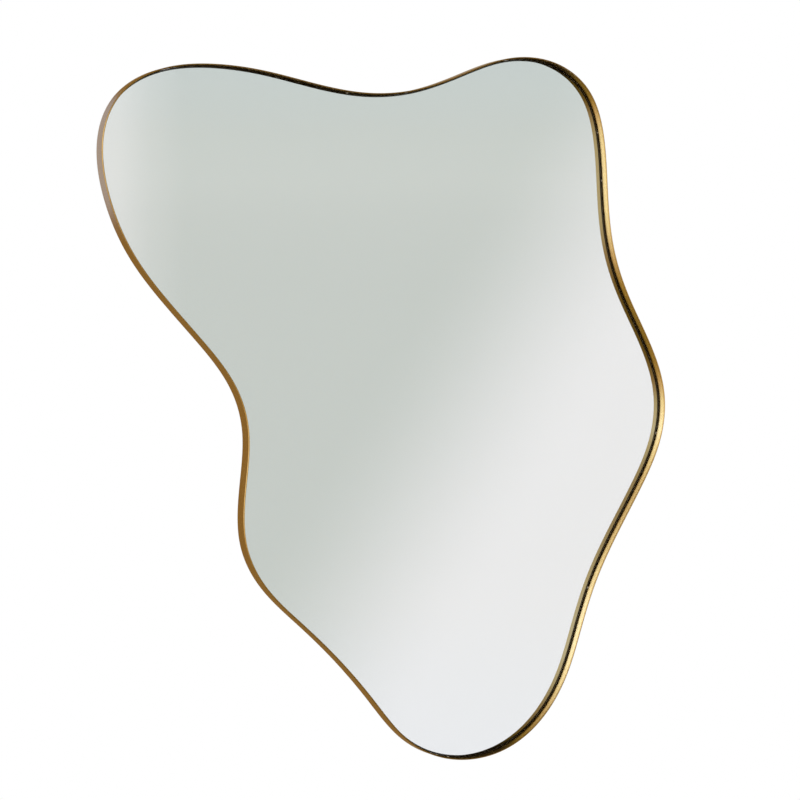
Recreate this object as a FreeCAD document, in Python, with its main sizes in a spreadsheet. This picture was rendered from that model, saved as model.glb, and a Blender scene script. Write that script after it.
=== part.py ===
import FreeCAD, Part
import math
import os

import Sketcher

# An irregular, organically curved wall mirror: a flat metal strip bent on edge round the
# outline, with the glass lying in a recess behind its front edge.
#
# Frame of the part: +Z up, the mirror looks along -Y, and Y = 0 is the wall. The origin is on
# the wall, halfway between the two points that the mirror hangs from. Millimetres.

V = FreeCAD.Vector
os.makedirs("parts", exist_ok=True)
doc = FreeCAD.newDocument("irregular_mirror")

# ---------------------------------------------------------------------------------------------
# Driving dimensions
# ---------------------------------------------------------------------------------------------
DIMENSIONS = [
    ("wall_standoff", 6.0, "rear edge of the strip to the wall"),
    ("band_depth", 25.0, "width of the flat strip, front edge to rear edge"),
    ("band_wall", 2.0, "thickness of the strip"),
    ("edge_round", 0.8, "natural rounding of the rolled strip, on its four long edges"),
    ("glass_recess", 14.2, "front edge of the strip to the face of the glass"),
    ("glass_gap", 0.8, "gap between glass and strip"),
    ("glass_thick", 3.0, "thickness of the glass"),
    ("glass_arris", 0.4, "ground arris on the glass"),
    ("film_inset", 1.5, "silvering stops this far inside the edge of the glass, which leaves a clear margin"),
    ("film_bond", 0.05, "clearance between glass and silvering"),
    ("film_thick", 0.25, "silver, paint and safety film together"),
    ("tape_thick", 1.0, "double-sided foam tape"),
    ("tape_wide", 25.0, "width of one strip of tape"),
    ("tape_margin", 22.0, "tape stops this far inside the strip"),
    ("board_thick", 5.0, "backing board"),
    ("board_gap", 0.15, "gap between board and strip, a close fit that lets no light through"),
    ("lug_thick", 1.5, "steel lug"),
    ("lug_wide", 18.0, "lug along the strip"),
    ("lug_deep", 16.0, "lug inwards from the strip"),
    ("lug_hole_in", 9.5, "screw hole inwards from the strip"),
    ("lug_hole_r", 2.1, "radius of the hole in the lug"),
    ("pilot_r", 1.8, "radius of the pilot hole in the board"),
    ("screw_r", 1.75, "radius of the lug screw's shank"),
    ("screw_long", 6.0, "lug screw below its head"),
    ("screw_head_r", 3.5, "radius of the pan head"),
    ("screw_head_tall", 2.2, "height of the pan head"),
    ("bar_thick", 1.5, "hanging bar"),
    ("bar_tall", 50.0, "height of the hanging bar"),
    ("bar_level", -35.75, "height of the bar's middle"),
    ("hanger_pitch", 400.0, "distance between the two hangers"),
    ("strap_wide", 12.0, "width of the hanger strap"),
    ("strap_sheet", 1.0, "thickness of the strap's sheet"),
    ("strap_tail", 41.0, "pivot to the lower end of the strap"),
    ("ring_wire_r", 1.25, "radius of the ring's wire"),
    ("ring_play", 0.05, "radial play of the ring in its strap"),
    ("ring_half", 10.0, "half width of the ring, to the middle of the wire"),
    ("ring_corner", 3.0, "radius of the ring's two corners"),
    ("ring_side", 7.0, "pivot to the middle of the ring's round end"),
    ("ring_lean", 4.2, "lean of the ring off the wall plane where it hangs on its strap, degrees"),
    ("pivot_up", 20.0, "pivot above the middle of the bar"),
    ("rivet_first", 24.0, "pivot to the first rivet"),
    ("rivet_step", 11.0, "rivet to rivet"),
    ("rivet_r", 1.6, "radius of the rivet's shank"),
    ("rivet_hole_r", 1.65, "radius of its hole"),
    ("rivet_head_r", 3.0, "radius of the rivet's dome"),
    ("rivet_head_tall", 1.1, "height of the dome"),
    ("rivet_blind_r", 2.5, "radius of the blind side"),
    ("rivet_blind_tall", 1.6, "height of the blind side"),
    ("relief_r", 4.0, "radius of the board's relief over a rivet"),
    ("bumper_r_board", 11.0, "radius of the wall bumper on the board"),
    ("bumper_r_wall", 9.0, "radius of the wall bumper at the wall"),
    ("spacer_long", 2.6, "edge spacer along the gap"),
    ("spacer_thick", 0.5, "edge spacer across the gap"),
    ("spacer_proud", 0.4, "edge spacer above the face of the glass"),
]

# Control points of the outer outline, a closed cubic spline with even knots, seen from the
# front: X to the right, Z up, clockwise from the left-hand lobe.
OUTLINE = [
    (-469.1, 60.1), (-447.7, 130.8), (-381.9, 170.7), (-302.1, 176.9),
    (-226.7, 168.9), (-154.5, 151.7), (-79.7, 139.4), (-4.6, 145.9),
    (66.0, 172.0), (137.2, 203.7), (216.6, 201.1), (277.6, 157.9),
    (295.6, 83.1), (297.7, 3.5), (305.4, -70.5), (330.7, -139.2),
    (369.7, -206.7), (397.3, -277.3), (389.2, -351.6), (353.4, -419.6),
    (314.1, -484.5), (279.0, -550.3), (255.8, -620.8), (234.3, -693.0),
    (191.1, -756.9), (127.0, -797.6), (47.1, -802.6), (-21.1, -771.1),
    (-66.9, -709.5), (-116.3, -652.3), (-171.1, -599.9), (-230.7, -549.4),
    (-265.5, -484.8), (-261.3, -407.6), (-249.8, -328.9), (-271.4, -260.1),
    (-322.6, -201.5), (-375.6, -145.4), (-421.5, -88.5), (-453.3, -19.8),
]

sheet = doc.addObject("Spreadsheet::Sheet", "Sheet")
sheet.Label = "dimensions"
row = 1


def cell(alias, value, note=""):
    global row
    sheet.set("A%d" % row, alias)
    sheet.set("B%d" % row, "%g" % value)
    sheet.setAlias("B%d" % row, alias)
    if note:
        sheet.set("C%d" % row, note)
    row += 1


for alias, value, note in DIMENSIONS:
    cell(alias, value, note)
for i, (x, z) in enumerate(OUTLINE):
    cell("pole_x_%02d" % i, x, "outline control point %d" % i)
    cell("pole_z_%02d" % i, z)
doc.recompute()


def dim(alias):
    return float(sheet.get(alias))


# ---------------------------------------------------------------------------------------------
# The outline
# ---------------------------------------------------------------------------------------------
COUNT = len(OUTLINE)
poles = [V(dim("pole_x_%02d" % i), dim("pole_z_%02d" % i), 0) for i in range(COUNT)]
outline = Part.BSplineCurve()
outline.buildFromPolesMultsKnots(poles, [1] * (COUNT + 1), list(range(COUNT + 1)), True, 3)


def on_outline(u, inset=0.0):
    """Point (x, z) at parameter u of the outline, moved inwards, and the inward direction."""
    u = u % COUNT
    point = outline.value(u)
    along = outline.tangent(u)[0]
    inward = V(along.y, -along.x, 0)
    return point + inward * inset, inward, along


SECTIONS = 10  # the strip is drawn as this many smoothly joined lengths


def inset_curves(inset):
    """The outline moved inwards by inset: a closed spline, cut into its smoothly joined lengths."""
    if inset == 0:
        curve = outline.copy()
    else:
        curve = Part.BSplineCurve()
        curve.interpolate([on_outline(i / 2.0, inset)[0] for i in range(2 * COUNT)], PeriodicFlag=True)
    knots = curve.getKnots()
    every = (len(knots) - 1) // SECTIONS
    lengths = []
    for i in range(SECTIONS):
        length = curve.copy()
        length.segment(knots[i * every], knots[(i + 1) * every])
        lengths.append(length)
    return lengths


LENGTH = [0.0]
FINE = 40
for i in range(COUNT * FINE):
    a, b = outline.value(i / FINE), outline.value((i + 1) / FINE)
    LENGTH.append(LENGTH[-1] + (b - a).Length)


def at_length(fraction):
    """Outline parameter at a fraction of the way round."""
    target = (fraction % 1.0) * LENGTH[-1]
    for i in range(1, len(LENGTH)):
        if LENGTH[i] >= target:
            return (i - 1 + (target - LENGTH[i - 1]) / (LENGTH[i] - LENGTH[i - 1])) / FINE
    return 0.0


def chord(points, x=None, z=None):
    """Where a closed run of points crosses a vertical (x) or a level (z) line."""
    found = []
    for a, b in zip(points, points[1:] + points[:1]):
        pa, pb = (a.x - x, b.x - x) if x is not None else (a.y - z, b.y - z)
        if pa * pb < 0:
            f = pa / (pa - pb)
            found.append(a.y + f * (b.y - a.y) if x is not None else a.x + f * (b.x - a.x))
    return sorted(found)


# ---------------------------------------------------------------------------------------------
# Helpers
# ---------------------------------------------------------------------------------------------
NODES = []


def node(obj, label):
    obj.Label = label
    NODES.append(obj)
    return obj


def origin_plane(body, role):
    return [f for f in body.Origin.OriginFeatures if f.Role == role][0]


def sketch_on(body, name, role, offset=None):
    sk = body.newObject("Sketcher::SketchObject", name)
    sk.AttachmentSupport = [(origin_plane(body, role), "")]
    sk.MapMode = "FlatFace"
    if offset:
        sk.setExpression("AttachmentOffset.Base.z", offset)
    return sk


def curves_in(sk, curves):
    for curve in curves:
        index = sk.addGeometry(curve, False)
        sk.addConstraint(Sketcher.Constraint("Block", index))


def pad_of(body, sk, length, name="Pad"):
    pad = body.newObject("PartDesign::Pad", name)
    pad.Profile = sk
    pad.setExpression("Length", length)
    sk.Visibility = False
    return pad


def plate(label, insets, rear, thick):
    """A plate of the outline's shape, its rear face at a depth from the wall, its front face
    towards -Y. With two insets it is the closed strip between them."""
    body = doc.addObject("PartDesign::Body", label + "_body")
    sk = sketch_on(body, label + "_outline", "XZ_Plane", rear)
    curves_in(sk, [curve for inset in insets for curve in inset_curves(inset)])
    pad = pad_of(body, sk, thick, label + "_pad")
    doc.recompute()
    return body, pad


def long_edges(shape):
    """Names of the edges that run round the outline."""
    return ["Edge%d" % (i + 1) for i, e in enumerate(shape.Edges) if e.Length > 100]


def box(name, length, width, height, placement):
    b = doc.addObject("Part::Box", name)
    for prop, value in (("Length", length), ("Width", width), ("Height", height)):
        if isinstance(value, str):
            b.setExpression(prop, value)
        else:
            setattr(b, prop, value)
    b.Placement = placement
    return b


def group(name, parts):
    g = doc.addObject("Part::Compound", name)
    g.Links = parts
    return g


def boolean(kind, name, base, tool):
    b = doc.addObject("Part::" + kind, name)
    b.Base = base
    b.Tool = tool
    return b


# Depths from the wall towards the front, as expressions
STRIP_REAR = "Sheet.wall_standoff"
GLASS_REAR = "Sheet.wall_standoff + Sheet.band_depth - Sheet.glass_recess - Sheet.glass_thick"
FILM_REAR = GLASS_REAR + " - Sheet.film_bond - Sheet.film_thick"
TAPE_REAR = FILM_REAR + " - Sheet.tape_thick"
BOARD_REAR = TAPE_REAR + " - Sheet.board_thick"

glass_front = dim("wall_standoff") + dim("band_depth") - dim("glass_recess")
film_rear = glass_front - dim("glass_thick") - dim("film_bond") - dim("film_thick")
tape_rear = film_rear - dim("tape_thick")
board_rear = tape_rear - dim("board_thick")
strip_rear = dim("wall_standoff")
inside = dim("band_wall")

# ---------------------------------------------------------------------------------------------
# The strip: bent on edge round the outline, closed by a butt weld, its long edges rounded
# ---------------------------------------------------------------------------------------------
body, pad = plate("frame_band", [0.0, inside], STRIP_REAR, "Sheet.band_depth")
fillet = body.newObject("PartDesign::Fillet", "frame_band_round")
fillet.Base = (pad, long_edges(pad.Shape))
fillet.setExpression("Radius", "Sheet.edge_round")
body.Tip = fillet
node(body, "frame_band")
doc.recompute()

# The room inside the strip. It trims what is welded to the strip, and isn't a piece itself.
room, room_pad = plate("room_inside", [inside], STRIP_REAR + " - 3", "Sheet.band_depth + 3")

# ---------------------------------------------------------------------------------------------
# Glass, silvering and board
# ---------------------------------------------------------------------------------------------
glass_inset = inside + dim("glass_gap")
body, pad = plate("mirror_glass", [glass_inset], GLASS_REAR, "Sheet.glass_thick")
arris = body.newObject("PartDesign::Chamfer", "mirror_glass_arris")
arris.Base = (pad, long_edges(pad.Shape))
arris.setExpression("Size", "Sheet.glass_arris")
body.Tip = arris
node(body, "mirror_glass")
doc.recompute()

body, pad = plate("mirror_silvering", [glass_inset + dim("glass_arris") + dim("film_inset")], FILM_REAR, "Sheet.film_thick")
node(body, "mirror_silvering")

# Lugs stand evenly round the strip, clear of the hanging bar's ends
LUGS = [at_length(0.017 + i / 11.0) for i in range(11)]
LUG_FRAMES = []
for u in LUGS:
    foot, inward, along = on_outline(u, inside)
    LUG_FRAMES.append((foot, inward, along, foot + inward * dim("lug_hole_in")))

pivot_level = dim("bar_level") + dim("pivot_up")
HANGERS = [(-dim("hanger_pitch") / 2, "left"), (dim("hanger_pitch") / 2, "right")]
RIVETS = [(x, pivot_level - dim("rivet_first") - k * dim("rivet_step")) for x, _ in HANGERS for k in (0, 1)]

body, pad = plate("backboard", [inside + dim("board_gap")], BOARD_REAR, "Sheet.board_thick")
before = pad.Shape.Volume
holes = sketch_on(body, "backboard_holes", "XZ_Plane", BOARD_REAR)
for x, z, radius in (
    [(f[3].x, f[3].y, "Sheet.pilot_r") for f in LUG_FRAMES] + [(x, z, "Sheet.relief_r") for x, z in RIVETS]
):
    index = holes.addGeometry(Part.Circle(V(x, z, 0), V(0, 0, 1), dim(radius[6:])), False)
    holes.addConstraint(Sketcher.Constraint("DistanceX", -1, 1, index, 3, x))
    holes.addConstraint(Sketcher.Constraint("DistanceY", -1, 1, index, 3, z))
    k = holes.addConstraint(Sketcher.Constraint("Radius", index, dim(radius[6:])))
    holes.setExpression("Constraints[%d]" % k, radius)
pocket = body.newObject("PartDesign::Pocket", "backboard_drilled")
pocket.Profile = holes
pocket.Type = "Length"
pocket.setExpression("Length", "Sheet.board_thick")
pocket.Reversed = True
body.Tip = pocket
node(body, "backboard")
doc.recompute()
drilled = before - pocket.Shape.Volume
expected = math.pi * dim("board_thick") * (
    len(LUGS) * dim("pilot_r") ** 2 + len(RIVETS) * dim("relief_r") ** 2
)
print("board holes: removed %.1f of %.1f mm3" % (drilled, expected))
if abs(drilled - expected) > 0.02 * expected:
    raise SystemExit("the board's holes don't cut it")

# ---------------------------------------------------------------------------------------------
# Foam tape: upright strips between the silvering and the board
# ---------------------------------------------------------------------------------------------
margin = dim("tape_margin")
edge_points = [on_outline(i / 8.0, margin)[0] for i in range(8 * COUNT)]
strips = []
wide = dim("tape_wide")
for x in (-390, -290, -190, -90, 10, 110, 210, 310):
    left, right = chord(edge_points, x=x - wide / 2), chord(edge_points, x=x + wide / 2)
    if len(left) < 2 or len(right) < 2:
        continue
    low, high = max(left[0], right[0]), min(left[-1], right[-1])
    if high - low < 60:
        continue
    # long runs are laid in lengths with a short break between them
    pieces = max(1, round((high - low) / 300.0))
    step = (high - low + 12.0) / pieces
    for k in range(pieces):
        strips.append(
            box("tape_%d_%d" % (x + 400, k), "Sheet.tape_wide", "Sheet.tape_thick", step - 12.0,
                FreeCAD.Placement(V(x - wide / 2, -tape_rear - dim("tape_thick"), low + k * step), FreeCAD.Rotation()))
        )
node(group("mounting_tape_group", strips), "mounting_tape")

# ---------------------------------------------------------------------------------------------
# Lugs: welded to the inside of the strip, flush with its rear edge
# ---------------------------------------------------------------------------------------------
blanks, drills = [], []
for i, (foot, inward, along, hole) in enumerate(LUG_FRAMES):
    # box axes: X along the strip, Y from front to rear, Z inwards
    turn = FreeCAD.Rotation(V(along.x, 0, along.y), V(0, 1, 0), V(inward.x, 0, inward.y), "XYZ")
    corner = foot - along * (dim("lug_wide") / 2) - inward * 3.0
    side = V(along.x, 0, along.y).cross(V(0, 1, 0)).dot(V(inward.x, 0, inward.y))
    if side < 0:
        # the other hand: start from the far end of the lug
        turn = FreeCAD.Rotation(V(-along.x, 0, -along.y), V(0, 1, 0), V(inward.x, 0, inward.y), "XYZ")
        corner = foot + along * (dim("lug_wide") / 2) - inward * 3.0
    blanks.append(
        box("lug_blank_%02d" % i, "Sheet.lug_wide", "Sheet.lug_thick", "Sheet.lug_deep + 3",
            FreeCAD.Placement(V(corner.x, -strip_rear - dim("lug_thick"), corner.y), turn))
    )
    drill = doc.addObject("Part::Cylinder", "lug_drill_%02d" % i)
    drill.setExpression("Radius", "Sheet.lug_hole_r")
    drill.Height = 6
    drill.Placement = FreeCAD.Placement(V(hole.x, -strip_rear - 4, hole.y), FreeCAD.Rotation(V(1, 0, 0), -90))
    drills.append(drill)
lug_cut = boolean("Cut", "lugs_drilled", group("lug_blanks", blanks), group("lug_drills", drills))
node(boolean("Common", "lugs_fitted", lug_cut, room), "frame_lugs")

# ---------------------------------------------------------------------------------------------
# Hanging bar: flat steel across the strip behind the board, welded at both ends
# ---------------------------------------------------------------------------------------------
bar_blank = box("bar_blank", 1000.0, "Sheet.bar_thick", "Sheet.bar_tall",
                FreeCAD.Placement(V(-560, -strip_rear - dim("bar_thick"), dim("bar_level") - dim("bar_tall") / 2), FreeCAD.Rotation()))
drills = []
for i, (x, z) in enumerate(RIVETS):
    drill = doc.addObject("Part::Cylinder", "bar_drill_%d" % i)
    drill.setExpression("Radius", "Sheet.rivet_hole_r")
    drill.Height = 6
    drill.Placement = FreeCAD.Placement(V(x, -strip_rear - 4, z), FreeCAD.Rotation(V(1, 0, 0), -90))
    drills.append(drill)
bar_cut = boolean("Cut", "bar_drilled", bar_blank, group("bar_drills", drills))
node(boolean("Common", "bar_fitted", bar_cut, room), "hanging_bar")

# ---------------------------------------------------------------------------------------------
# Hangers: a strap folded round the straight side of a D-ring
# ---------------------------------------------------------------------------------------------
sheet_t = dim("strap_sheet")
wire = dim("ring_wire_r")
bore = wire + dim("ring_play")
shell = bore + sheet_t
# the pivot stands off the bar by the strap's flat layer and the bore
pivot_out = sheet_t + bore
pivot_y = -strip_rear + pivot_out
tail = dim("strap_tail")


def strap(label, x):
    """Side profile in (y, z) about the pivot: a flat layer on the bar, folded over the ring's
    wire and back down on itself, drawn as one closed line."""
    body = doc.addObject("PartDesign::Body", label + "_body")
    sk = sketch_on(body, label + "_profile", "YZ_Plane")
    back = -pivot_out              # on the bar
    middle = back + sheet_t        # between the two layers, in line with the bore's side
    front = back + 2 * sheet_t     # outer face of the returning layer
    # the returning layer leaves the loop where the outer circle meets its face
    z_out = -math.sqrt(shell ** 2 - front ** 2)
    z_in = -math.sqrt(bore ** 2 - 0.0) if abs(middle) >= bore else -math.sqrt(bore ** 2 - middle ** 2)
    lines = [
        (V(back, 0, 0), V(back, -tail, 0)),
        (V(back, -tail, 0), V(front, -tail, 0)),
        (V(front, -tail, 0), V(front, z_out, 0)),
    ]
    for a, b in lines:
        sk.addGeometry(Part.LineSegment(a, b), False)
    start = math.atan2(z_out, front)
    arc = Part.ArcOfCircle(Part.Circle(V(0, 0, 0), V(0, 0, 1), shell), start, math.pi)
    sk.addGeometry(arc, False)
    sk.addGeometry(Part.Circle(V(0, 0, 0), V(0, 0, 1), bore), False)
    for index in range(5):
        sk.addConstraint(Sketcher.Constraint("Block", index))
    pad = body.newObject("PartDesign::Pad", label + "_pad")
    pad.Profile = sk
    pad.setExpression("Length", "Sheet.strap_wide")
    pad.Midplane = True
    doc.recompute()
    before = pad.Shape.Volume
    # rivet holes, square to the wall
    hs = sketch_on(body, label + "_holes", "XZ_Plane")
    for k in (0, 1):
        z = -dim("rivet_first") - k * dim("rivet_step")
        index = hs.addGeometry(Part.Circle(V(0, z, 0), V(0, 0, 1), dim("rivet_hole_r")), False)
        hs.addConstraint(Sketcher.Constraint("PointOnObject", index, 3, -2))
        d = hs.addConstraint(Sketcher.Constraint("DistanceY", -1, 1, index, 3, z))
        hs.setExpression("Constraints[%d]" % d, "-(Sheet.rivet_first + %d * Sheet.rivet_step)" % k)
        r = hs.addConstraint(Sketcher.Constraint("Radius", index, dim("rivet_hole_r")))
        hs.setExpression("Constraints[%d]" % r, "Sheet.rivet_hole_r")
    cut = body.newObject("PartDesign::Pocket", label + "_drilled")
    cut.Profile = hs
    cut.Type = "ThroughAll"
    cut.Midplane = True
    body.Tip = cut
    body.setExpression("Placement.Base.x", "%s * Sheet.hanger_pitch / 2" % ("-1" if x < 0 else "1"))
    body.setExpression("Placement.Base.y", "-Sheet.wall_standoff + Sheet.strap_sheet + Sheet.ring_wire_r + Sheet.ring_play")
    body.setExpression("Placement.Base.z", "Sheet.bar_level + Sheet.pivot_up")
    doc.recompute()
    removed = before - cut.Shape.Volume
    wanted = 2 * math.pi * dim("rivet_hole_r") ** 2 * 2 * sheet_t
    print(label, "holes: removed %.2f of %.2f mm3" % (removed, wanted))
    if abs(removed - wanted) > 0.05 * wanted:
        raise SystemExit("the strap's holes don't cut it")
    return node(body, label)


def ring(label, x):
    """The D-ring hangs from the pivot: straight side in the strap, two corners, two short sides
    and a half-round end. Its wire is swept along that closed line."""
    body = doc.addObject("PartDesign::Body", label + "_body")
    spine = sketch_on(body, label + "_line", "XZ_Plane")
    half, corner, side = dim("ring_half"), dim("ring_corner"), dim("ring_side")
    flat = half - corner
    spine.addGeometry(Part.LineSegment(V(-flat, 0, 0), V(flat, 0, 0)), False)
    spine.addGeometry(Part.ArcOfCircle(Part.Circle(V(flat, -corner, 0), V(0, 0, 1), corner), 0, math.pi / 2), False)
    spine.addGeometry(Part.LineSegment(V(half, -corner, 0), V(half, -side, 0)), False)
    spine.addGeometry(Part.ArcOfCircle(Part.Circle(V(0, -side, 0), V(0, 0, 1), half), math.pi, 2 * math.pi), False)
    spine.addGeometry(Part.LineSegment(V(-half, -side, 0), V(-half, -corner, 0)), False)
    spine.addGeometry(Part.ArcOfCircle(Part.Circle(V(-flat, -corner, 0), V(0, 0, 1), corner), math.pi / 2, math.pi), False)
    for index in range(6):
        spine.addConstraint(Sketcher.Constraint("Block", index))
    profile = sketch_on(body, label + "_wire", "YZ_Plane")
    index = profile.addGeometry(Part.Circle(V(0, 0, 0), V(0, 0, 1), wire), False)
    profile.addConstraint(Sketcher.Constraint("Coincident", index, 3, -1, 1))
    r = profile.addConstraint(Sketcher.Constraint("Radius", index, wire))
    profile.setExpression("Constraints[%d]" % r, "Sheet.ring_wire_r")
    pipe = body.newObject("PartDesign::AdditivePipe", label + "_pipe")
    pipe.Profile = profile
    pipe.Spine = spine
    pipe.Mode = "Standard"
    pipe.Transition = "Transformed"
    body.Tip = pipe
    body.Placement = FreeCAD.Placement(V(x, pivot_y, pivot_level), FreeCAD.Rotation(V(1, 0, 0), dim("ring_lean")))
    body.setExpression("Placement.Base.x", "%s * Sheet.hanger_pitch / 2" % ("-1" if x < 0 else "1"))
    body.setExpression("Placement.Base.y", "-Sheet.wall_standoff + Sheet.strap_sheet + Sheet.ring_wire_r + Sheet.ring_play")
    body.setExpression("Placement.Base.z", "Sheet.bar_level + Sheet.pivot_up")
    body.setExpression("Placement.Rotation.Angle", "Sheet.ring_lean")
    doc.recompute()
    length = 2 * flat + math.pi * corner + 2 * (side - corner) + math.pi * half
    print(label, "volume %.1f, wire section times length %.1f" % (pipe.Shape.Volume, math.pi * wire ** 2 * length))
    return node(body, label)


for x, name in HANGERS:
    strap("hanger_strap_" + name, x)
for x, name in HANGERS:
    ring("hanger_ring_" + name, x)


# ---------------------------------------------------------------------------------------------
# Small turned parts: one profile each, turned about its own axis, repeated where it is used
# ---------------------------------------------------------------------------------------------
def turned(label, points, arcs=()):
    """A turned piece: closed profile in (radius, height). The height runs along +Z."""
    body = doc.addObject("PartDesign::Body", label + "_master")
    sk = sketch_on(body, label + "_section", "XZ_Plane")
    count = len(points)
    for i in range(count):
        a, b = points[i], points[(i + 1) % count]
        if i in arcs:
            sk.addGeometry(Part.Arc(V(*a, 0), V(*arcs[i], 0), V(*b, 0)), False)
        else:
            sk.addGeometry(Part.LineSegment(V(*a, 0), V(*b, 0)), False)
    for i in range(count):
        sk.addConstraint(Sketcher.Constraint("Block", i))
    rev = body.newObject("PartDesign::Revolution", label + "_turned")
    rev.Profile = sk
    rev.ReferenceAxis = (sk, ["V_Axis"])
    rev.Angle = 360
    body.Tip = rev
    doc.recompute()
    return body, rev


def on_dome(edge, top):
    """A point halfway up a dome that is part of a ball: edge is (radius, height) of its rim."""
    rise = top - edge[1]
    ball = (edge[0] ** 2 + rise ** 2) / (2 * rise)
    half = edge[0] / 2
    return half, top - ball + math.sqrt(ball ** 2 - half ** 2)


def repeat(label, master, placements):
    """Copies of one piece, each a solid of its own, in one group."""
    copies = []
    for i, placement in enumerate(placements):
        copy = doc.addObject("App::Link", "%s_%02d" % (label, i))
        copy.LinkedObject = master
        copy.LinkTransform = False
        copy.Placement = placement
        copies.append(copy)
    return node(group(label + "_group", copies), label)


TO_WALL = FreeCAD.Rotation(V(1, 0, 0), -90)  # the piece's own +Z turned to +Y, towards the wall

# Lug screw: pan head with a cross recess, plain shank, short point. Height 0 is under the head.
head_r, head_t, shank, long_ = dim("screw_head_r"), dim("screw_head_tall"), dim("screw_r"), dim("screw_long")
screw, screw_rev = turned(
    "lug_screw",
    [(0, -long_), (0.4, -long_), (shank, -long_ + 1.4), (shank, 0), (head_r, 0), (head_r, head_t * 0.45), (0, head_t)],
    {5: on_dome((head_r, head_t * 0.45), head_t)},
)
before = screw_rev.Shape.Volume
cross = sketch_on(screw, "lug_screw_cross", "XY_Plane")
arm, half_arm = head_r * 0.58, 0.45
outline_points = [
    (half_arm, half_arm), (arm, half_arm), (arm, -half_arm), (half_arm, -half_arm), (half_arm, -arm), (-half_arm, -arm),
    (-half_arm, -half_arm), (-arm, -half_arm), (-arm, half_arm), (-half_arm, half_arm), (-half_arm, arm), (half_arm, arm),
]
cross.setExpression("AttachmentOffset.Base.z", "Sheet.screw_head_tall + 0.1")
for i in range(12):
    cross.addGeometry(Part.LineSegment(V(*outline_points[i], 0), V(*outline_points[(i + 1) % 12], 0)), False)
    cross.addConstraint(Sketcher.Constraint("Block", i))
recess = screw.newObject("PartDesign::Pocket", "lug_screw_recess")
recess.Profile = cross
recess.Type = "Length"
recess.Length = 1.5
screw.Tip = recess
doc.recompute()
print("screw recess: removed %.2f mm3" % (before - recess.Shape.Volume))
if before - recess.Shape.Volume < 2:
    raise SystemExit("the cross recess doesn't cut the head")
repeat("lug_screws", screw,
       [FreeCAD.Placement(V(f[3].x, -strip_rear, f[3].y), TO_WALL.multiply(FreeCAD.Rotation(V(0, 0, 1), 17 * i)))
        for i, f in enumerate(LUG_FRAMES)])

# Blind rivet: dome on the strap, shank through strap and bar, collar on the bar's far side
grip = 2 * sheet_t + dim("bar_thick")
dome_r, dome_t, rivet_r = dim("rivet_head_r"), dim("rivet_head_tall"), dim("rivet_r")
blind_r, blind_t = dim("rivet_blind_r"), dim("rivet_blind_tall")
rivet, _ = turned(
    "hanger_rivet",
    [(0, -grip - blind_t), (blind_r * 0.7, -grip - blind_t), (blind_r, -grip - blind_t * 0.6), (blind_r, -grip),
     (rivet_r, -grip), (rivet_r, 0), (dome_r, 0), (dome_r, 0.2), (0, dome_t)],
    {7: on_dome((dome_r, 0.2), dome_t)},
)
repeat("hanger_rivets", rivet,
       [FreeCAD.Placement(V(x, -strip_rear + 2 * sheet_t, z), TO_WALL) for x, z in RIVETS])

# Wall bumpers: tapered rubber pads stuck to the board, their flat ends on the wall plane
bumpers = []
for i, (x, z) in enumerate([(-366.0, 54.0), (218.0, 112.0), (321.0, -316.0), (-186.0, -380.0), (76.0, -740.0)]):
    b = doc.addObject("Part::Cone", "wall_bumper_%d" % i)
    b.setExpression("Radius1", "Sheet.bumper_r_board")
    b.setExpression("Radius2", "Sheet.bumper_r_wall")
    b.setExpression("Height", BOARD_REAR)
    b.Placement = FreeCAD.Placement(V(x, -board_rear, z), TO_WALL)
    bumpers.append(b)
node(group("wall_bumpers_group", bumpers), "wall_bumpers")

# Edge spacers: small blocks in the gap, standing on the board, that keep the glass off the strip
spacers = []
middle = inside + dim("glass_gap") / 2
for i, u in enumerate([4.69, 7.47, 10.80, 11.69, 16.85, 20.17, 24.97, 25.22, 27.69, 30.16, 32.89, 37.40, 0.20]):
    centre, inward, along = on_outline(u, middle)
    x_dir, z_dir = V(along.x, 0, along.y), V(inward.x, 0, inward.y)
    if x_dir.cross(V(0, 1, 0)).dot(z_dir) < 0:
        x_dir = x_dir * -1
    turn = FreeCAD.Rotation(x_dir, V(0, 1, 0), z_dir, "XYZ")
    start = V(centre.x, 0, centre.y) - x_dir * (dim("spacer_long") / 2) - z_dir * (dim("spacer_thick") / 2)
    tall = glass_front - tape_rear + dim("spacer_proud")
    start.y = -tape_rear - tall
    spacers.append(
        box("edge_spacer_%02d" % i, "Sheet.spacer_long", tall, "Sheet.spacer_thick", FreeCAD.Placement(start, turn))
    )
node(group("edge_spacers_group", spacers), "edge_spacers")

# ---------------------------------------------------------------------------------------------
# Check and write
# ---------------------------------------------------------------------------------------------
doc.recompute()
bad = [o.Name for o in doc.Objects if "Invalid" in o.State or "Error" in o.State]
if bad:
    raise SystemExit("failed objects: %s" % bad)
SOLIDS = {"frame_lugs": len(LUGS), "lug_screws": len(LUGS), "hanger_rivets": 4, "wall_bumpers": 5,
          "edge_spacers": 13, "mounting_tape": len(strips)}
for obj in NODES:
    shape = obj.Shape
    if shape.isNull() or not shape.isValid():
        raise SystemExit("%s has no valid shape" % obj.Label)
    count = len(shape.Solids)
    if count != SOLIDS.get(obj.Label, 1):
        raise SystemExit("%s has %d solids" % (obj.Label, count))
for obj in NODES:
    shape = obj.Shape
    shape.exportStep("parts/%s.step" % obj.Label)
    bb = shape.BoundBox
    print("%-20s solids %2d  volume %10.1f  x %.1f..%.1f  y %.2f..%.2f  z %.1f..%.1f" % (
        obj.Label, len(shape.Solids), shape.Volume, bb.XMin, bb.XMax, bb.YMin, bb.YMax, bb.ZMin, bb.ZMax))
print("lug holes", [(round(f[3].x, 1), round(f[3].y, 1)) for f in LUG_FRAMES])
print("rivets", RIVETS, "pivot", pivot_y, pivot_level)
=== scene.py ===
import math

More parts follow.
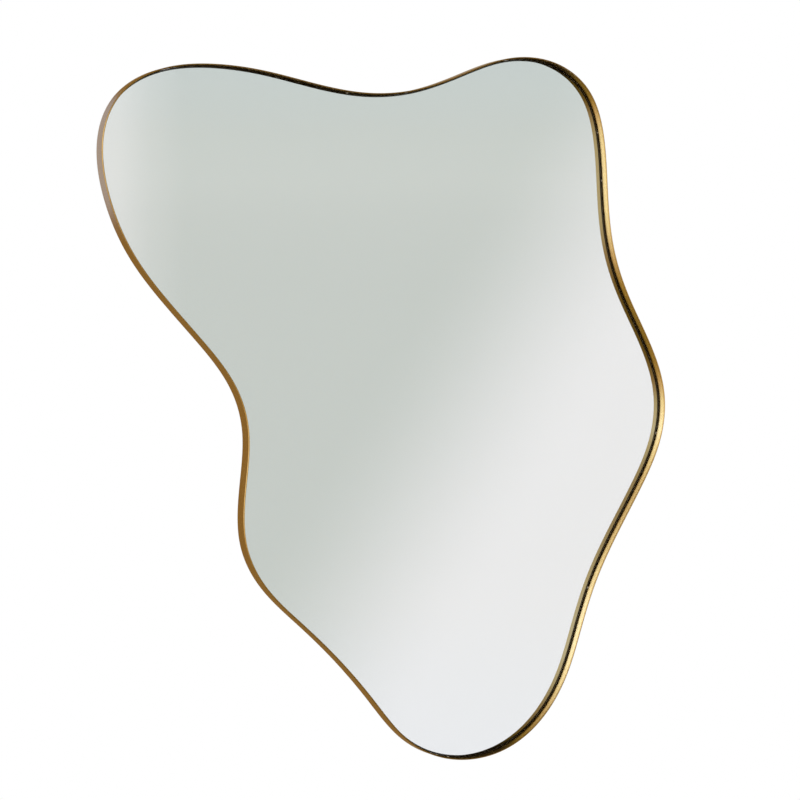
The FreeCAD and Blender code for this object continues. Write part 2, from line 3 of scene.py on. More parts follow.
import bpy
import numpy as np
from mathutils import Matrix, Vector


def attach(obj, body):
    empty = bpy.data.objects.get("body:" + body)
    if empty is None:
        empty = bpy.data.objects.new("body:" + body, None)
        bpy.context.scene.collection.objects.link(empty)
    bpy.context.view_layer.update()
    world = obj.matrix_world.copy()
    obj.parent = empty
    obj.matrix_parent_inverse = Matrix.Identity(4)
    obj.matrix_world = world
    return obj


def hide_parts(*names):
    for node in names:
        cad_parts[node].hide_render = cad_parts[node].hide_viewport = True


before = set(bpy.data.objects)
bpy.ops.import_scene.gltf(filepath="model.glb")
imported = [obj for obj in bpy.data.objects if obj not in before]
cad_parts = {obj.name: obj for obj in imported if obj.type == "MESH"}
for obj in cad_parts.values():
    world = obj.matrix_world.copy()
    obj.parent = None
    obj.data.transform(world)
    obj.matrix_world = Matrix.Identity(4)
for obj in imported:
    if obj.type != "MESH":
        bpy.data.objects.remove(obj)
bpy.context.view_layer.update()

# ---------------------------------------------------------------------------------------------
# The outline, the same closed cubic spline as the CAD strip: x to the right, z up, clockwise
# seen from the front, millimetres
# ---------------------------------------------------------------------------------------------
OUTLINE = [
    (-469.1, 60.1), (-447.7, 130.8), (-381.9, 170.7), (-302.1, 176.9),
    (-226.7, 168.9), (-154.5, 151.7), (-79.7, 139.4), (-4.6, 145.9),
    (66.0, 172.0), (137.2, 203.7), (216.6, 201.1), (277.6, 157.9),
    (295.6, 83.1), (297.7, 3.5), (305.4, -70.5), (330.7, -139.2),
    (369.7, -206.7), (397.3, -277.3), (389.2, -351.6), (353.4, -419.6),
    (314.1, -484.5), (279.0, -550.3), (255.8, -620.8), (234.3, -693.0),
    (191.1, -756.9), (127.0, -797.6), (47.1, -802.6), (-21.1, -771.1),
    (-66.9, -709.5), (-116.3, -652.3), (-171.1, -599.9), (-230.7, -549.4),
    (-265.5, -484.8), (-261.3, -407.6), (-249.8, -328.9), (-271.4, -260.1),
    (-322.6, -201.5), (-375.6, -145.4), (-421.5, -88.5), (-453.3, -19.8),
]
POLES = np.array(OUTLINE) / 1000.0
COUNT = len(POLES)
MM = 0.001


def spline(u):
    """Points and unit tangents of the outline at parameters u."""
    u = np.asarray(u, float) % COUNT
    i = np.floor(u).astype(int)
    t = u - i
    b = [(1 - t) ** 3 / 6, (3 * t**3 - 6 * t**2 + 4) / 6, (-3 * t**3 + 3 * t**2 + 3 * t + 1) / 6, t**3 / 6]
    d = [-((1 - t) ** 2) / 2, (9 * t**2 - 12 * t) / 6, (-9 * t**2 + 6 * t + 3) / 6, t**2 / 2]
    p = sum(b[k][:, None] * POLES[(i - 1 + k) % COUNT] for k in range(4))
    q = sum(d[k][:, None] * POLES[(i - 1 + k) % COUNT] for k in range(4))
    return p, q / np.linalg.norm(q, axis=1)[:, None]


WELD = 26.2  # the strip's butt weld, at the lowest point of the outline


def stations(count):
    """Evenly spaced stations round the outline from the weld: points, inward normals, lengths."""
    fine = np.linspace(WELD, WELD + COUNT, COUNT * 200 + 1)
    p, _ = spline(fine)
    s = np.r_[0, np.cumsum(np.linalg.norm(np.diff(p, axis=0), axis=1))]
    u = np.interp(np.linspace(0, s[-1], count + 1), s, fine)[:-1]
    p, t = spline(u)
    return p, np.c_[t[:, 1], -t[:, 0]], np.linspace(0, s[-1], count + 1)


def make(name, verts, faces, normals, uvs=None, slots=None, slot_of=None):
    """A mesh object with its own corner normals, one per corner in face order."""
    mesh = bpy.data.meshes.new(name)
    mesh.from_pydata([tuple(v) for v in verts], [], faces)
    if uvs is not None:
        layer = mesh.uv_layers.new(name="strip")
        layer.data.foreach_set("uv", np.asarray(uvs, np.float32).ravel())
    mesh.polygons.foreach_set("use_smooth", [True] * len(mesh.polygons))
    for m in slots or []:
        mesh.materials.append(m)
    if slot_of is not None:
        mesh.polygons.foreach_set("material_index", slot_of)
    mesh.update()
    mesh.normals_split_custom_set([tuple(n) for n in normals])
    obj = bpy.data.objects.new(name, mesh)
    bpy.context.scene.collection.objects.link(obj)
    return obj


def swept(profile, count, closed=True):
    """Vertices, faces, corner normals and strip coordinates of a profile carried round the
    outline. The profile is a run of (inset, depth, normal before, normal after), where a normal
    is (inwards, depth) and depth is positive towards the wall."""
    p, n, s = stations(count)
    m = len(profile)
    inset = np.array([q[0] for q in profile])
    depth = np.array([q[1] for q in profile])
    verts = np.empty((count, m, 3))
    verts[..., 0] = p[:, 0, None] + n[:, 0, None] * inset
    verts[..., 2] = p[:, 1, None] + n[:, 1, None] * inset
    verts[..., 1] = depth
    run = np.r_[0, np.cumsum(np.hypot(np.diff(np.r_[inset, inset[0]]), np.diff(np.r_[depth, depth[0]])))]
    faces, normals, uvs = [], [], []
    last = m if closed else m - 1
    for i in range(count):
        k = (i + 1) % count
        for j in range(last):
            g = (j + 1) % m
            faces.append((i * m + j, i * m + g, k * m + g, k * m + j))
            a, b = profile[j][3], profile[g][2]
            for st, (ni, ny) in ((i, a), (i, b), (k, b), (k, a)):
                normals.append((n[st, 0] * ni, ny, n[st, 1] * ni))
            uvs += [(s[i], run[j]), (s[i], run[j + 1]), (s[i + 1], run[j + 1]), (s[i + 1], run[j])]
    return verts.reshape(-1, 3), faces, normals, uvs


def rounded(d0, d1, y0, y1, r, steps):
    """A rounded rectangle in (inset, depth), from the outer face's rear end forwards, over the
    front edge, back along the inner face and over the rear edge. Depth y0 is the rear."""
    out = []
    for cx, cy, start in ((d0 + r, y1 + r, 180), (d1 - r, y1 + r, 270), (d1 - r, y0 - r, 0), (d0 + r, y0 - r, 90)):
        for k in range(steps + 1):
            a = math.radians(start + 90 * k / steps)
            nrm = (math.cos(a), math.sin(a))
            out.append((cx + r * nrm[0], cy + r * nrm[1], nrm, nrm))
    return out


# ---------------------------------------------------------------------------------------------
# Node trees
# ---------------------------------------------------------------------------------------------
class Tree:
    """A short way to write a node tree."""

    def __init__(self, tree):
        self.tree = tree
        tree.nodes.clear()

    def add(self, kind, inputs=(), **props):
        node = self.tree.nodes.new(kind)
        for key, value in props.items():
            setattr(node, key, value)
        for key, value in dict(inputs).items():
            self.put(node.inputs[key], value)
        return node

    def put(self, socket, value):
        if isinstance(value, bpy.types.NodeSocket):
            self.tree.links.new(value, socket)
        else:
            socket.default_value = value

    def math(self, op, a, b=None, c=None, clamp=False):
        ins = {0: a}
        if b is not None:
            ins[1] = b
        if c is not None:
            ins[2] = c
        return self.add("ShaderNodeMath", ins, operation=op, use_clamp=clamp).outputs[0]

    def span(self, value, a, b, c=0.0, d=1.0, smooth=True):
        node = self.add("ShaderNodeMapRange", {"Value": value, "From Min": a, "From Max": b, "To Min": c, "To Max": d},
                        interpolation_type="SMOOTHSTEP" if smooth else "LINEAR")
        return node.outputs[0]

    def mix(self, factor, a, b, blend="MIX"):
        node = self.add("ShaderNodeMix", data_type="RGBA", blend_type=blend)
        self.put(node.inputs[0], factor)
        for socket, value in ((node.inputs[6], a), (node.inputs[7], b)):
            self.put(socket, value if isinstance(value, bpy.types.NodeSocket) else (*value, 1))
        return node.outputs[2]

    def ramp(self, factor, stops, mode="LINEAR"):
        node = self.add("ShaderNodeValToRGB", {"Fac": factor})
        cr = node.color_ramp
        cr.interpolation = mode
        while len(cr.elements) < len(stops):
            cr.elements.new(0.5)
        for el, (pos, col) in zip(cr.elements, sorted(stops)):
            el.position = pos
            el.color = (*col, 1) if isinstance(col, tuple) else (col, col, col, 1)
        return node.outputs["Color"]

    def noise(self, vector, scale, detail=2.0, rough=0.5, distortion=0.0):
        node = self.add("ShaderNodeTexNoise", {"Vector": vector, "Scale": scale, "Detail": detail, "Roughness": rough,
                                               "Distortion": distortion})
        return node.outputs["Fac"]

    def stretched(self, vector, scale, turn=(0, 0, 0)):
        return self.add("ShaderNodeMapping", {"Vector": vector, "Scale": scale, "Rotation": turn}).outputs[0]


def material(name):
    m = bpy.data.materials.new(name)
    m.use_nodes = True
    t = Tree(m.node_tree)
    shader = t.add("ShaderNodeBsdfPrincipled")
    out = t.add("ShaderNodeOutputMaterial")
    m.node_tree.links.new(shader.outputs[0], out.inputs["Surface"])
    return m, t, shader


def brushed_brass():
    """Brass-plated strip, brushed lengthwise and lacquered: the scratches run along the strip."""
    m, t, s = material("brushed_brass")
    uv = t.add("ShaderNodeUVMap", uv_map="strip").outputs[0]
    fine = t.noise(t.stretched(uv, (22, 5200, 1)), 1.0, 3, 0.6)
    broad = t.noise(t.stretched(uv, (7, 900, 1)), 1.0, 3, 0.55)
    patch = t.noise(t.stretched(uv, (9, 60, 1)), 1.0, 3, 0.5)
    tone = t.mix(t.span(patch, 0.3, 0.7), (0.770, 0.570, 0.285), (0.830, 0.628, 0.335))
    tone = t.mix(t.span(broad, 0.35, 0.7, 0.0, 0.5), tone, (0.865, 0.668, 0.385))
    tone = t.mix(t.span(fine, 0.62, 0.8, 0.0, 0.35), tone, (0.600, 0.410, 0.180))
    t.put(s.inputs["Base Color"], tone)
    s.inputs["Metallic"].default_value = 1.0
    rough = t.math("ADD", t.span(fine, 0.25, 0.75, 0.16, 0.22, False), t.span(patch, 0.3, 0.7, -0.02, 0.02, False))
    t.put(s.inputs["Roughness"], rough)
    s.inputs["Anisotropic"].default_value = 0.85
    s.inputs["Coat Weight"].default_value = 0.2
    s.inputs["Coat Roughness"].default_value = 0.2
    s.inputs["Anisotropic Rotation"].default_value = 0.25
    t.put(s.inputs["Tangent"], t.add("ShaderNodeTangent", direction_type="UV_MAP", uv_map="strip").outputs[0])
    height = t.math("ADD", t.math("MULTIPLY", fine, 0.6), t.math("MULTIPLY", broad, 0.4))
    t.put(s.inputs["Normal"], t.add("ShaderNodeBump", {"Strength": 0.25, "Distance": 0.00001, "Height": height}).outputs[0])
    return m


def metal(name, low, high, dark, rough, grain, bump, aniso=None):
    """A plain metal part: two tones in soft patches, a fine grain and darker specks."""
    m, t, s = material(name)
    at = t.add("ShaderNodeTexCoord").outputs["Object"]
    patch = t.noise(at, 38, 3, 0.55)
    fine = t.noise(t.stretched(at, grain), 1.0, 3, 0.6)
    speck = t.noise(at, 900, 2, 0.5)
    tone = t.mix(t.span(patch, 0.3, 0.7), low, high)
    tone = t.mix(t.span(fine, 0.5, 0.8, 0.0, 0.35), tone, high)
    tone = t.mix(t.span(speck, 0.64, 0.8, 0.0, 0.5), tone, dark)
    t.put(s.inputs["Base Color"], tone)
    s.inputs["Metallic"].default_value = 1.0
    t.put(s.inputs["Roughness"], t.math("ADD", t.span(patch, 0.3, 0.7, rough - 0.03, rough + 0.04, False),
                                        t.span(fine, 0.3, 0.7, -0.03, 0.03, False)))
    t.put(s.inputs["Normal"], t.add("ShaderNodeBump", {"Strength": bump, "Distance": 0.00003, "Height": fine}).outputs[0])
    return m


def zinc(name, low, high, rough):
    """Zinc-plated steel, with its faint crystals."""
    m, t, s = material(name)
    at = t.add("ShaderNodeTexCoord").outputs["Object"]
    cells = t.add("ShaderNodeTexVoronoi", {"Vector": at, "Scale": 420.0}).outputs["Color"]
    grey = t.add("ShaderNodeSeparateColor", {0: cells}).outputs[0]
    cloud = t.noise(at, 60, 3, 0.6)
    tone = t.mix(t.math("MULTIPLY", grey, 0.7), low, high)
    tone = t.mix(t.span(cloud, 0.55, 0.8, 0.0, 0.5), tone, (0.50, 0.49, 0.46))
    t.put(s.inputs["Base Color"], tone)
    s.inputs["Metallic"].default_value = 1.0
    t.put(s.inputs["Roughness"], t.math("ADD", t.span(cloud, 0.3, 0.7, rough, rough + 0.1, False), t.math("MULTIPLY", grey, 0.06)))
    t.put(s.inputs["Normal"], t.add("ShaderNodeBump", {"Strength": 0.15, "Distance": 0.00003, "Height": cloud}).outputs[0])
    return m


def mirror_glass():
    """Clear float glass, faintly green."""
    m, t, s = material("float_glass")
    at = t.add("ShaderNodeTexCoord").outputs["Object"]
    cloud = t.noise(at, 3, 1, 0.5)
    t.put(s.inputs["Base Color"], t.mix(cloud, (0.974, 0.986, 0.980), (0.978, 0.989, 0.983)))
    s.inputs["Transmission Weight"].default_value = 1.0
    s.inputs["Roughness"].default_value = 0.0
    s.inputs["IOR"].default_value = 1.52
    return m


def ground_edge_painted_shade():
    """The ground arris and edge of the glass, finely matt: its dark base colour is painted shade, and its brown tinge
    is a painted reflection of the strip beside it.
    """
    m, t, s = material("ground_glass_edge_painted_shade")
    at = t.add("ShaderNodeTexCoord").outputs["Object"]
    fine = t.noise(at, 420, 2, 0.6)
    # painted shade and painted reflection: the dark brown base colour stands in for the shade in the gap and for the
    # strip reflected in the edge
    t.put(s.inputs["Base Color"], t.mix(t.span(fine, 0.3, 0.7), (0.120, 0.080, 0.036), (0.170, 0.118, 0.056)))
    s.inputs["Transmission Weight"].default_value = 0.3
    s.inputs["IOR"].default_value = 1.52
    t.put(s.inputs["Roughness"], t.span(fine, 0.3, 0.7, 0.32, 0.5, False))
    t.put(s.inputs["Normal"], t.add("ShaderNodeBump", {"Strength": 0.2, "Distance": 0.00002, "Height": fine}).outputs[0])
    return m


def silver():
    """The silver coating, seen through the glass."""
    m, t, s = material("silver_coating")
    at = t.add("ShaderNodeTexCoord").outputs["Object"]
    cloud = t.noise(at, 2.2, 1, 0.4)
    t.put(s.inputs["Base Color"], t.mix(cloud, (0.968, 0.972, 0.968), (0.972, 0.975, 0.971)))
    s.inputs["Metallic"].default_value = 1.0
    s.inputs["Roughness"].default_value = 0.0
    return m


def matt(name, low, high, scale, rough, bump, depth, specular=0.5, stretch=(1, 1, 1), sheen=0.0):
    """A matt material in two tones, with a fine texture and a broader cloud."""
    m, t, s = material(name)
    at = t.stretched(t.add("ShaderNodeTexCoord").outputs["Object"], stretch)
    fine = t.noise(at, scale, 4, 0.6)
    cloud = t.noise(at, scale * 0.06, 3, 0.5)
    both = t.math("ADD", t.math("MULTIPLY", fine, 0.65), t.math("MULTIPLY", cloud, 0.35))
    t.put(s.inputs["Base Color"], t.mix(t.span(both, 0.32, 0.68), low, high))
    t.put(s.inputs["Roughness"], t.span(fine, 0.3, 0.7, rough - 0.06, rough + 0.06, False))
    s.inputs["Specular IOR Level"].default_value = specular
    s.inputs["Sheen Weight"].default_value = sheen
    t.put(s.inputs["Normal"], t.add("ShaderNodeBump", {"Strength": bump, "Distance": depth, "Height": fine}).outputs[0])
    return m


BRASS = brushed_brass()
BRASS_REAR = metal("brass_finish_rear", (0.62, 0.44, 0.20), (0.76, 0.56, 0.28), (0.34, 0.22, 0.09), 0.36, (260, 2400, 2400), 0.3)
WELD_METAL = metal("weld_metal", (0.52, 0.38, 0.20), (0.70, 0.53, 0.29), (0.22, 0.15, 0.08), 0.42, (900, 900, 900), 0.5)
ZINC = zinc("zinc_plated_steel", (0.62, 0.63, 0.64), (0.80, 0.81, 0.82), 0.24)
RIVET_METAL = zinc("aluminium_rivet", (0.70, 0.71, 0.72), (0.86, 0.86, 0.87), 0.30)
GLASS = mirror_glass()
GLASS_EDGE_PAINTED_SHADE = ground_edge_painted_shade()
SILVER = silver()
FILM = matt("safety_film_rear", (0.30, 0.31, 0.33), (0.40, 0.41, 0.43), 900, 0.45, 0.2, 0.00002)
BOARD = matt("black_fibreboard", (0.012, 0.011, 0.010), (0.034, 0.031, 0.028), 1400, 0.62, 0.45, 0.00006, 0.35)
TAPE = matt("foam_tape", (0.62, 0.61, 0.58), (0.78, 0.77, 0.74), 2200, 0.8, 0.6, 0.0001, 0.3)
RUBBER = matt("wall_bumper_rubber", (0.020, 0.020, 0.021), (0.045, 0.044, 0.043), 1700, 0.6, 0.4, 0.00005, 0.4)
SPACER = matt("edge_spacer", (0.60, 0.53, 0.42), (0.80, 0.73, 0.60), 1500, 0.6, 0.5, 0.00006, 0.4)

# ---------------------------------------------------------------------------------------------
# The strip: 25 mm wide, 2 mm thick, bent on edge round the outline, with rolled round edges
# ---------------------------------------------------------------------------------------------
band_profile = rounded(0.0, 2 * MM, -6 * MM, -31 * MM, 0.8 * MM, 6)
verts, faces, normals, uvs = swept(band_profile, 1600)
band = make("brushed_strip", verts, faces, normals, uvs, [BRASS])
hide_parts("frame_band")
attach(band, "mirror")


def capped(profile, count, caps):
    """A plate: its edge is swept round the outline, and its two faces are one flat face each."""
    verts, faces, normals, uvs = swept(profile, count, closed=False)
    m = len(profile)
    sides = len(faces)
    rear = [i * m for i in range(count)]
    front = [i * m + m - 1 for i in range(count)]
    for loop, ny in ((front[::-1], -1.0), (rear, 1.0)):
        faces.append(tuple(loop))
        normals += [(0.0, ny, 0.0)] * count
    slots = [caps[1]] * sides + [caps[0], caps[2]]
    return verts, faces, normals, slots


# ---------------------------------------------------------------------------------------------
# The glass: 3 mm, 0.8 mm clear of the strip, with a 0.4 mm ground arris on both faces
# ---------------------------------------------------------------------------------------------
h = math.sqrt(0.5)
g0, g1, y0, y1, arris = 2.8 * MM, 3.2 * MM, -16.8 * MM, -13.8 * MM, 0.4 * MM
glass_profile = [
    (g1, y1, (-h, h), (-h, h)),
    (g0, y1 - arris, (-h, h), (-1.0, 0.0)),
    (g0, y0 + arris, (-1.0, 0.0), (-h, -h)),
    (g1, y0, (-h, -h), (-h, -h)),
]
verts, faces, normals, slot_of = capped(glass_profile, 1600, (0, 1, 0))
glass = make("mirror_glass_plate", verts, faces, normals, None, [GLASS, GLASS_EDGE_PAINTED_SHADE], slot_of)
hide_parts("mirror_glass")
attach(glass, "mirror")

f0 = 4.7 * MM  # the silver stops 1.5 mm inside the arris
film_profile = [(f0, -13.5 * MM, (-1.0, 0.0), (-1.0, 0.0)), (f0, -13.75 * MM, (-1.0, 0.0), (-1.0, 0.0))]
verts, faces, normals, slot_of = capped(film_profile, 1600, (0, 1, 1))
film = make("silver_and_film", verts, faces, normals, None, [SILVER, FILM], slot_of)
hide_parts("mirror_silvering")
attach(film, "mirror")


# ---------------------------------------------------------------------------------------------
# Weld beads: one along the foot of each lug, on the strip's rear edge, and two on the bar
# ---------------------------------------------------------------------------------------------
def near(x, z):
    """Parameter of the outline's point nearest to (x, z), millimetres."""
    u = np.linspace(0, COUNT, COUNT * 400)
    p, _ = spline(u)
    return u[np.argmin(np.hypot(p[:, 0] - x * MM, p[:, 1] - z * MM))]


def bead(name, path, half, tall, normal_y=1.0, seed=0):
    """A rippled weld bead along a path in the rear plane, flat underneath."""
    rng = np.random.default_rng(seed)
    path = np.asarray(path)
    n = len(path)
    d = np.gradient(path, axis=0)
    d /= np.linalg.norm(d, axis=1)[:, None]
    side = np.cross(d, (0, 1, 0))
    s = np.r_[0, np.cumsum(np.linalg.norm(np.diff(path, axis=0), axis=1))]
    rows, around = [], 12
    for i in range(n):
        end = min(s[i], s[-1] - s[i]) / (1.2 * MM)
        taper = math.sqrt(max(0.0, 1 - (1 - min(1.0, end)) ** 2)) * 0.98 + 0.02
        ripple = 1 + 0.13 * math.cos(2 * math.pi * s[i] / (0.85 * MM)) + 0.05 * rng.standard_normal()
        w, t = half * taper * (0.94 + 0.06 * ripple), tall * taper * ripple
        for k in range(around):
            a = 2 * math.pi * k / around
            up = max(0.0, math.sin(a)) * t - 0.05 * MM
            rows.append(path[i] + side[i] * math.cos(a) * w + np.array((0, normal_y * up, 0)))
    faces = []
    for i in range(n - 1):
        for k in range(around):
            g = (k + 1) % around
            faces.append((i * around + k, i * around + g, (i + 1) * around + g, (i + 1) * around + k))
    faces.append(tuple(range(around))[::-1])
    faces.append(tuple((n - 1) * around + k for k in range(around)))
    mesh = bpy.data.meshes.new(name)
    mesh.from_pydata([tuple(v) for v in rows], [], faces)
    mesh.materials.append(WELD_METAL)
    mesh.polygons.foreach_set("use_smooth", [True] * len(mesh.polygons))
    mesh.update()
    obj = bpy.data.objects.new(name, mesh)
    bpy.context.scene.collection.objects.link(obj)
    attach(obj, "mirror")
    return obj


LUG_HOLES = [
    (-395.3, 146.5), (-133.7, 137.0), (135.1, 185.5), (285.3, 36.8), (363.6, -225.6), (310.5, -469.0),
    (202.2, -717.9), (-17.8, -750.4), (-205.7, -553.2), (-248.8, -299.1), (-411.0, -77.8),
]
for index, (x, z) in enumerate(LUG_HOLES):
    u0 = near(x, z)
    speed = 0.0785  # metres of outline for one step of the parameter
    run = np.linspace(-7.4 * MM, 7.4 * MM, 70) / speed
    p, t = spline(u0 + run)
    inward = np.c_[t[:, 1], -t[:, 0]]
    q = p + inward * 2.05 * MM
    bead("weld_bead_lug_%02d" % index, np.c_[q[:, 0], np.full(len(q), -6.0 * MM), q[:, 1]], 1.1 * MM, 0.65 * MM, seed=index)
for index, (x, z) in enumerate([(-452.0, -35.75), (306.0, -35.75)]):
    u0 = near(x, z)
    speed = 0.0785
    run = np.linspace(-19 * MM, 19 * MM, 150) / speed
    p, t = spline(u0 + run)
    inward = np.c_[t[:, 1], -t[:, 0]]
    q = p + inward * 2.05 * MM
    bead("weld_bead_bar_%02d" % index, np.c_[q[:, 0], np.full(len(q), -6.0 * MM), q[:, 1]], 1.25 * MM, 0.75 * MM, seed=40 + index)

# ---------------------------------------------------------------------------------------------
# Finishes of the pieces that keep their CAD shape
# ---------------------------------------------------------------------------------------------
FINISH = {
    "backboard": BOARD,
    "mounting_tape": TAPE,
    "frame_lugs": BRASS_REAR,
    "hanging_bar": BRASS_REAR,
    "hanger_strap_left": ZINC,
    "hanger_strap_right": ZINC,
    "hanger_ring_left": ZINC,
    "hanger_ring_right": ZINC,
    "lug_screws": ZINC,
    "hanger_rivets": RIVET_METAL,
    "wall_bumpers": RUBBER,
    "edge_spacers": SPACER,
}
for name, m in FINISH.items():
    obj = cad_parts[name]
    obj.data.materials.clear()
    obj.data.materials.append(m)


# ---------------------------------------------------------------------------------------------
# Studio: white surround, soft light all round, a bright band in front, darker above and below
# ---------------------------------------------------------------------------------------------
def studio():
    world = bpy.data.worlds.new("studio")
    bpy.context.scene.world = world
    world.use_nodes = True
    world.cycles.sampling_method = "NONE"
    t = Tree(world.node_tree)
    towards = t.add("ShaderNodeTexCoord").outputs["Generated"]
    xyz = t.add("ShaderNodeSeparateXYZ", {0: towards}).outputs
    x, y, z = xyz[0], xyz[1], xyz[2]
    deg = 57.29578
    psi = t.math("MULTIPLY", t.math("ARCTAN2", x, t.math("MULTIPLY", y, -1.0)), deg)
    el = t.math("MULTIPLY", t.math("ARCSINE", z), deg)
    turn = t.span(psi, -180, 180, 0, 1, False)
    rise = t.span(el, -90, 90, 0, 1, False)

    # what the glass shows: grey-green at the left, white towards the lower right
    flat = t.math("MAXIMUM", t.math("MULTIPLY", y, -1.0), 0.08)
    slope_x = t.math("DIVIDE", x, flat)
    slope_z = t.math("DIVIDE", z, flat)
    s = t.math("ADD", t.math("MULTIPLY", slope_x, 2028.25), t.math("MULTIPLY", slope_z, -1341.87))
    s = t.math("ADD", s, -364.46)
    shade = t.ramp(t.span(s, 440, 740, 0, 1, False), MIRROR_S, "EASE")
    lift = t.ramp(turn, [((p + 180) / 360, v) for p, v in MIRROR_LIFT])
    close = t.ramp(t.span(psi, 12, 20, 0, 1, False), [((p - 12) / 8, v) for p, v in MIRROR_FALL])
    lift = t.mix(t.math("LESS_THAN", t.math("ABSOLUTE", t.math("SUBTRACT", psi, 16.0)), 4.0), lift, close)
    seen = t.mix(lift, shade, (0.95, 0.94, 0.97))
    tone = t.mix(1.0, t.ramp(rise, [((e + 90) / 180, v) for e, v in MIRROR_RISE]), (1.1, 1.1, 1.1), "MULTIPLY")
    seen = t.mix(1.0, seen, tone, "MULTIPLY")

    # what the brass shows: its level by height, for the left and the right of the front
    left = t.ramp(rise, [((e + 90) / 180, v) for e, v in LEFT_RISE])
    right = t.ramp(rise, [((e + 90) / 180, v) for e, v in RIGHT_RISE])
    level = t.mix(t.span(psi, -6, 14), left, right)
    level = t.mix(1.0, level, t.ramp(turn, [((p + 180) / 360, v) for p, v in ROUND]), "MULTIPLY")
    behind = t.ramp(turn, [((p + 180) / 360, v) for p, v in BEHIND])
    brass = t.ramp(level, LEVEL_TONE)
    brass = t.mix(1.0, brass, (1.95, 1.90, 1.85), "MULTIPLY")
    brass = t.mix(t.span(y, -0.10, 0.10), brass, behind)

    path = t.add("ShaderNodeLightPath").outputs
    once = t.math("MULTIPLY", t.math("LESS_THAN", path["Glossy Depth"], 1.5), t.math("GREATER_THAN", path["Glossy Depth"], 0.5))
    through = t.math("MULTIPLY", path["Is Transmission Ray"], once)
    again = t.math("MULTIPLY", t.math("SUBTRACT", 1.0, path["Is Transmission Ray"]), t.math("GREATER_THAN", path["Glossy Depth"], 1.5))
    brass = t.mix(again, brass, t.mix(1.0, brass, (0.40, 0.41, 0.42), "MULTIPLY"))
    colour = t.mix(through, brass, seen)
    soft = t.mix(t.span(z, -1.0, 1.0, 0, 1, False), (0.62, 0.61, 0.60), (1.15, 1.15, 1.15))
    colour = t.mix(path["Is Diffuse Ray"], colour, soft)
    colour = t.mix(path["Is Camera Ray"], colour, (1.0, 1.0, 1.0))
    shader = t.add("ShaderNodeBackground", {"Color": colour, "Strength": 1.0})
    out = t.add("ShaderNodeOutputWorld")
    world.node_tree.links.new(shader.outputs[0], out.inputs["Surface"])


# stops are (degrees or share, value)
MIRROR_S = [(0.0, (0.619, 0.666, 0.668)), (0.217, (0.619, 0.666, 0.668)), (0.95, (0.944, 0.941, 0.987)), (1.0, (0.944, 0.941, 0.987))]
MIRROR_LIFT = [(-180, 0.4), (-60, 0.4), (-20, 0.85), (5, 0.70), (14, 0.66), (16.4, 0.56), (19, 0.0), (60, 0.0), (180, 0.3)]
MIRROR_FALL = [(12, 0.66), (14, 0.66), (16.4, 0.56), (17.44, 0.50), (18.1, 0.18), (18.8, 0.0), (20, 0.0)]
MIRROR_RISE = [(-90, 0.72), (-30, 0.80), (-16, 0.97), (-9, 0.955), (-5, 0.909), (2, 0.909), (5, 0.99), (12, 0.99), (35, 0.85), (90, 0.78)]
LEFT_RISE = [(-90, 0.06), (-34, 0.09), (-26, 0.144), (-22, 0.20), (-19, 0.264), (-12, 0.48), (-3.5, 0.76), (4, 0.90),
             (10, 0.96), (16, 0.80), (21, 0.62), (27, 0.25), (33, 0.10), (90, 0.04)]
RIGHT_RISE = [(-90, 0.01), (-22, 0.015), (-10, 0.02), (-7.5, 0.15), (-5.5, 0.29), (1, 0.31), (3, 0.40), (4.5, 0.15), (6, 0.03), (22, 0.02), (90, 0.01)]
ROUND = [(-180, 0.3), (-95, 0.3), (-60, 0.6), (-30, 1.0), (35, 1.0), (70, 0.8), (95, 0.7), (180, 0.7)]
LEVEL_TONE = [(0.0, (0.010, 0.006, 0.002)), (0.045, (0.042, 0.031, 0.011)), (0.144, (0.142, 0.106, 0.027)), (0.264, (0.246, 0.170, 0.040)),
              (0.48, (0.460, 0.362, 0.230)), (0.74, (0.662, 0.662, 0.523)), (0.88, (0.800, 0.800, 0.723)), (0.96, (0.870, 0.950, 0.990))]
BEHIND = [(-180, (0.28, 0.170, 0.055)), (-130, (0.28, 0.170, 0.055)), (-95, (0.40, 0.30, 0.18)), (95, (0.70, 0.68, 0.64)),
          (150, (0.62, 0.58, 0.52)), (166, (0.28, 0.170, 0.055)), (180, (0.28, 0.170, 0.055))]
studio()


def card(name, corners, colour, strength):
    """A flat light card, seen only in reflections."""
    mesh = bpy.data.meshes.new(name)
    mesh.from_pydata(corners, [], [(0, 1, 2, 3)])
    obj = bpy.data.objects.new(name, mesh)
    bpy.context.scene.collection.objects.link(obj)
    m = bpy.data.materials.new(name)
    m.use_nodes = True
    t = Tree(m.node_tree)
    at = t.add("ShaderNodeTexCoord").outputs["Generated"]
    edge = t.noise(at, 3.0, 1, 0.5)
    shader = t.add("ShaderNodeEmission", {"Color": t.mix(edge, colour, tuple(c * 0.92 for c in colour)), "Strength": strength})
    out = t.add("ShaderNodeOutputMaterial")
    m.node_tree.links.new(shader.outputs[0], out.inputs["Surface"])
    mesh.materials.append(m)
    obj.visible_camera = False
    obj.visible_diffuse = False
    obj.visible_shadow = False
    return obj


card("grey_card", [(-1.30, 1.0, -0.22), (-0.45, 1.0, -0.22), (-0.45, 1.0, 0.65), (-1.30, 1.0, 0.65)], (0.47, 0.455, 0.54), 1.0)


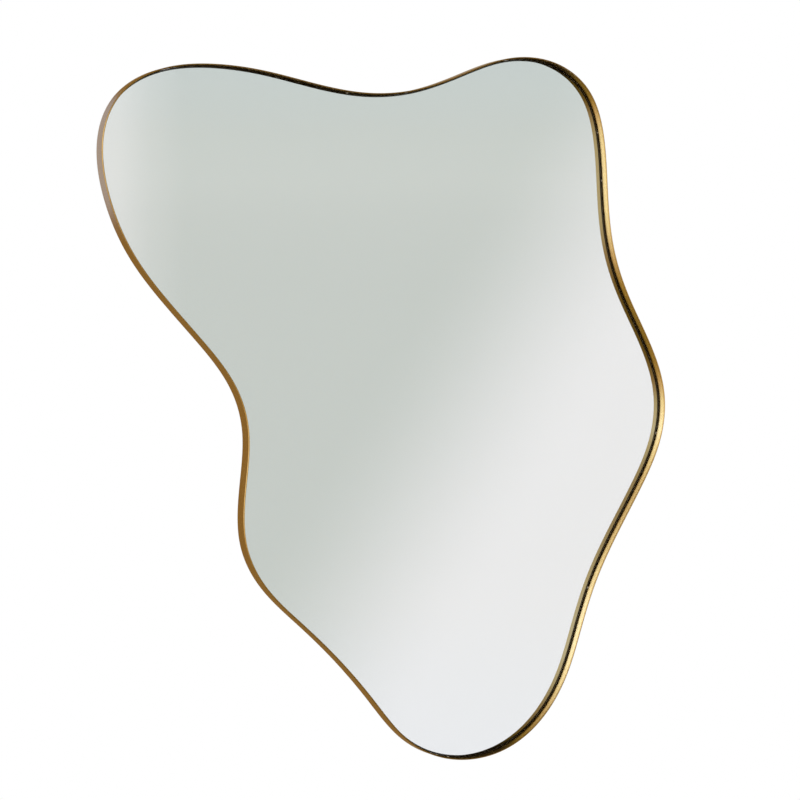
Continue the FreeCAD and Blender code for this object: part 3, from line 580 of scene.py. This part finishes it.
def floor():
    """A pale floor well below the mirror, with a painted glow that grows towards its rim so that it fades into the
    white surround.
    """
    rings, around, radius, level = 24, 96, 1.5, -3.6
    verts = [(0.0, 0.0, level)]
    for r in range(1, rings + 1):
        for k in range(around):
            a = 2 * math.pi * k / around
            verts.append((radius * r / rings * math.cos(a), radius * r / rings * math.sin(a), level))
    faces = [(0, 1 + k, 1 + (k + 1) % around) for k in range(around)]
    for r in range(1, rings):
        a0, b0 = 1 + (r - 1) * around, 1 + r * around
        for k in range(around):
            g = (k + 1) % around
            faces.append((a0 + k, b0 + k, b0 + g, a0 + g))
    mesh = bpy.data.meshes.new("floor")
    mesh.from_pydata(verts, [], faces)
    obj = bpy.data.objects.new("floor", mesh)
    bpy.context.scene.collection.objects.link(obj)
    m, t, s = material("pale_floor_painted_glow")
    at = t.add("ShaderNodeTexCoord").outputs["Object"]
    xyz = t.add("ShaderNodeSeparateXYZ", {0: at}).outputs
    r = t.math("SQRT", t.math("ADD", t.math("MULTIPLY", xyz[0], xyz[0]), t.math("MULTIPLY", xyz[1], xyz[1])))
    cloud = t.noise(at, 6, 4, 0.6)
    t.put(s.inputs["Base Color"], t.mix(cloud, (0.70, 0.70, 0.69), (0.76, 0.76, 0.75)))
    s.inputs["Roughness"].default_value = 0.7
    # painted light: the floor glows white, weakly at its middle and more strongly towards its rim
    s.inputs["Emission Color"].default_value = (1.0, 1.0, 1.0, 1.0)
    t.put(s.inputs["Emission Strength"], t.span(r, 0.5, 1.5, 0.12, 0.62))
    mesh.materials.append(m)
    obj.visible_glossy = False


floor()

# ---------------------------------------------------------------------------------------------
# Camera
# ---------------------------------------------------------------------------------------------
azimuth, elevation, distance = math.radians(-23.190128), math.radians(1.636577), 3.926038
look = Vector((-math.sin(azimuth) * math.cos(elevation), math.cos(azimuth) * math.cos(elevation), -math.sin(elevation)))
data = bpy.data.cameras.new("camera")
data.lens = 126.0
data.sensor_width = 36.0
data.clip_start = 0.05
data.clip_end = 50.0
camera = bpy.data.objects.new("camera", data)
bpy.context.scene.collection.objects.link(camera)
camera.location = Vector((-0.02905, -0.031, -0.2858)) - look * distance
camera.rotation_euler = look.to_track_quat("-Z", "Y").to_euler()
bpy.context.scene.camera = camera
bpy.context.scene.view_settings.view_transform = "Standard"
bpy.context.scene.view_settings.look = "None"
